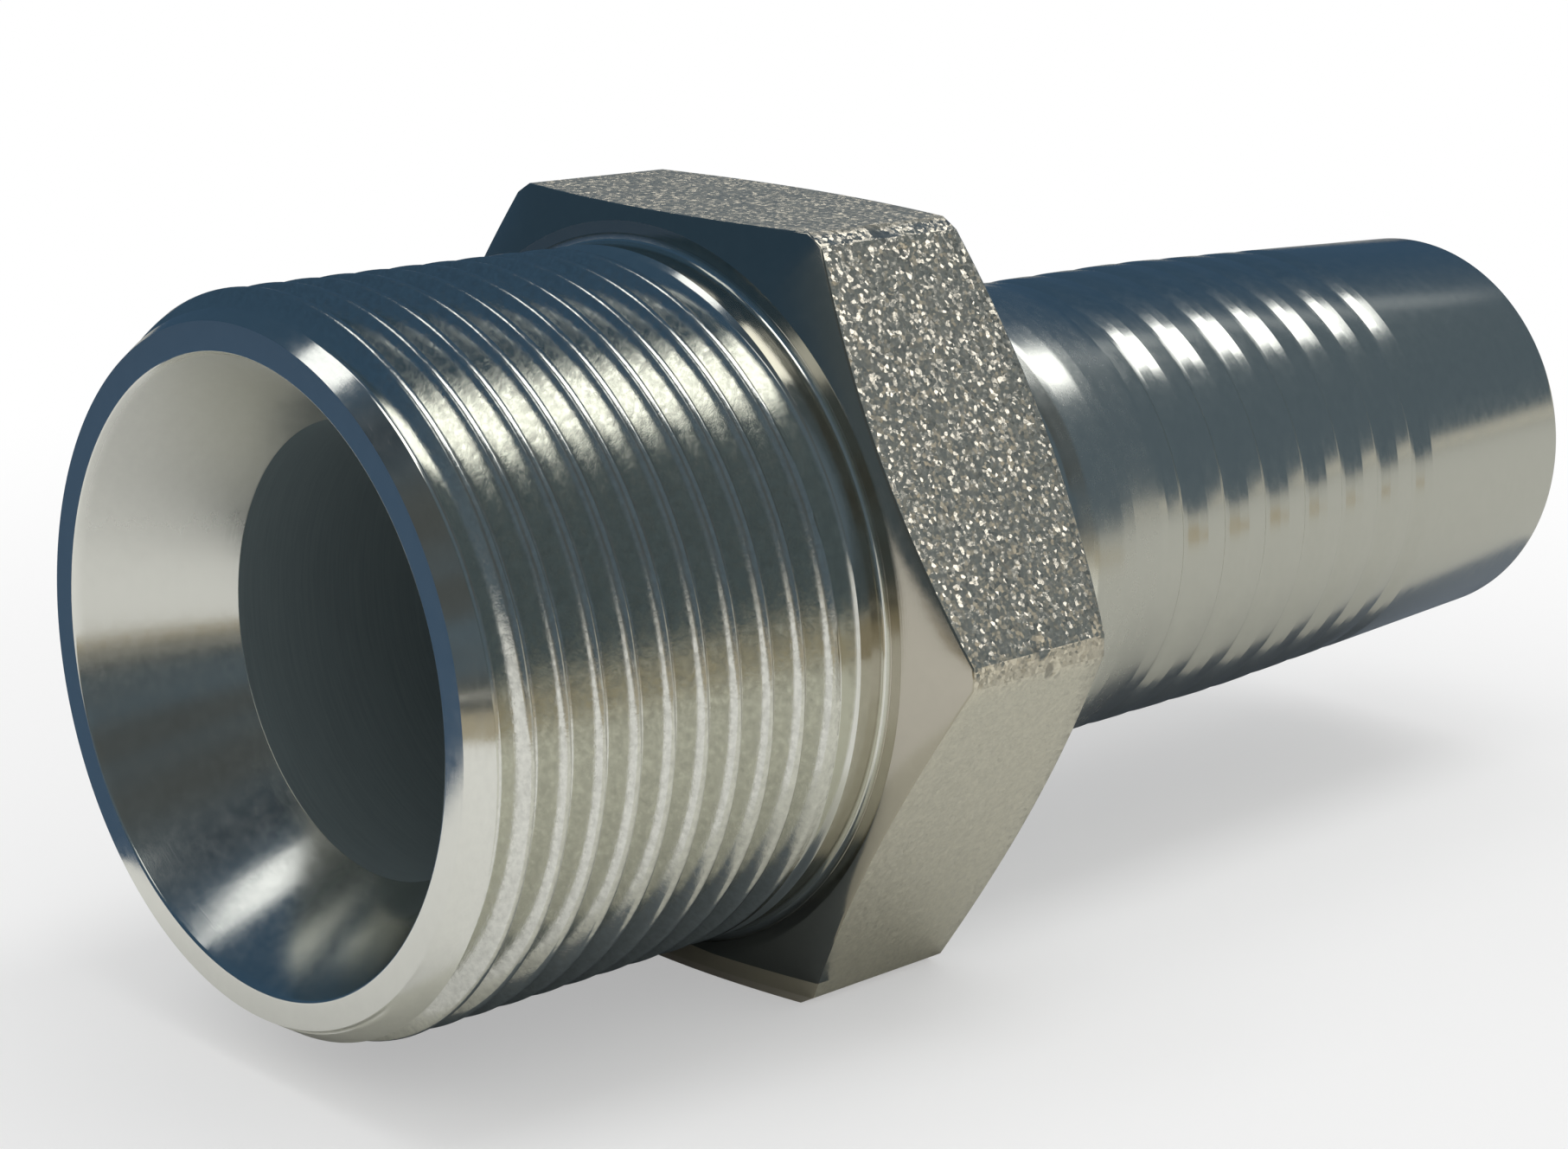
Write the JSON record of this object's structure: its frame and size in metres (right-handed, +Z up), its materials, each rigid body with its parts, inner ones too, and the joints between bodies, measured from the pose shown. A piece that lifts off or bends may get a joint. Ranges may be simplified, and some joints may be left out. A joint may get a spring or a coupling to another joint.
{
  "type": "press hose coupling",
  "caption": "Turned steel hose insert with a male pipe thread, a 60 degree sealing cone, a spanner hexagon and a grooved tail for a pressed hose.",
  "frame": {"origin": "centre of the threaded end's mouth face, on the common axis", "axes": "+X along the common axis from the threaded mouth to the tip of the hose tail, +Z up, one flat of the hexagon facing straight down"},
  "size_m": [0.103, 0.0524, 0.046],
  "materials": {
    "steel": "satin turned steel"
  },
  "bodies": {
    "root": {"hose_insert": "steel"}
  },
  "joints": []
}
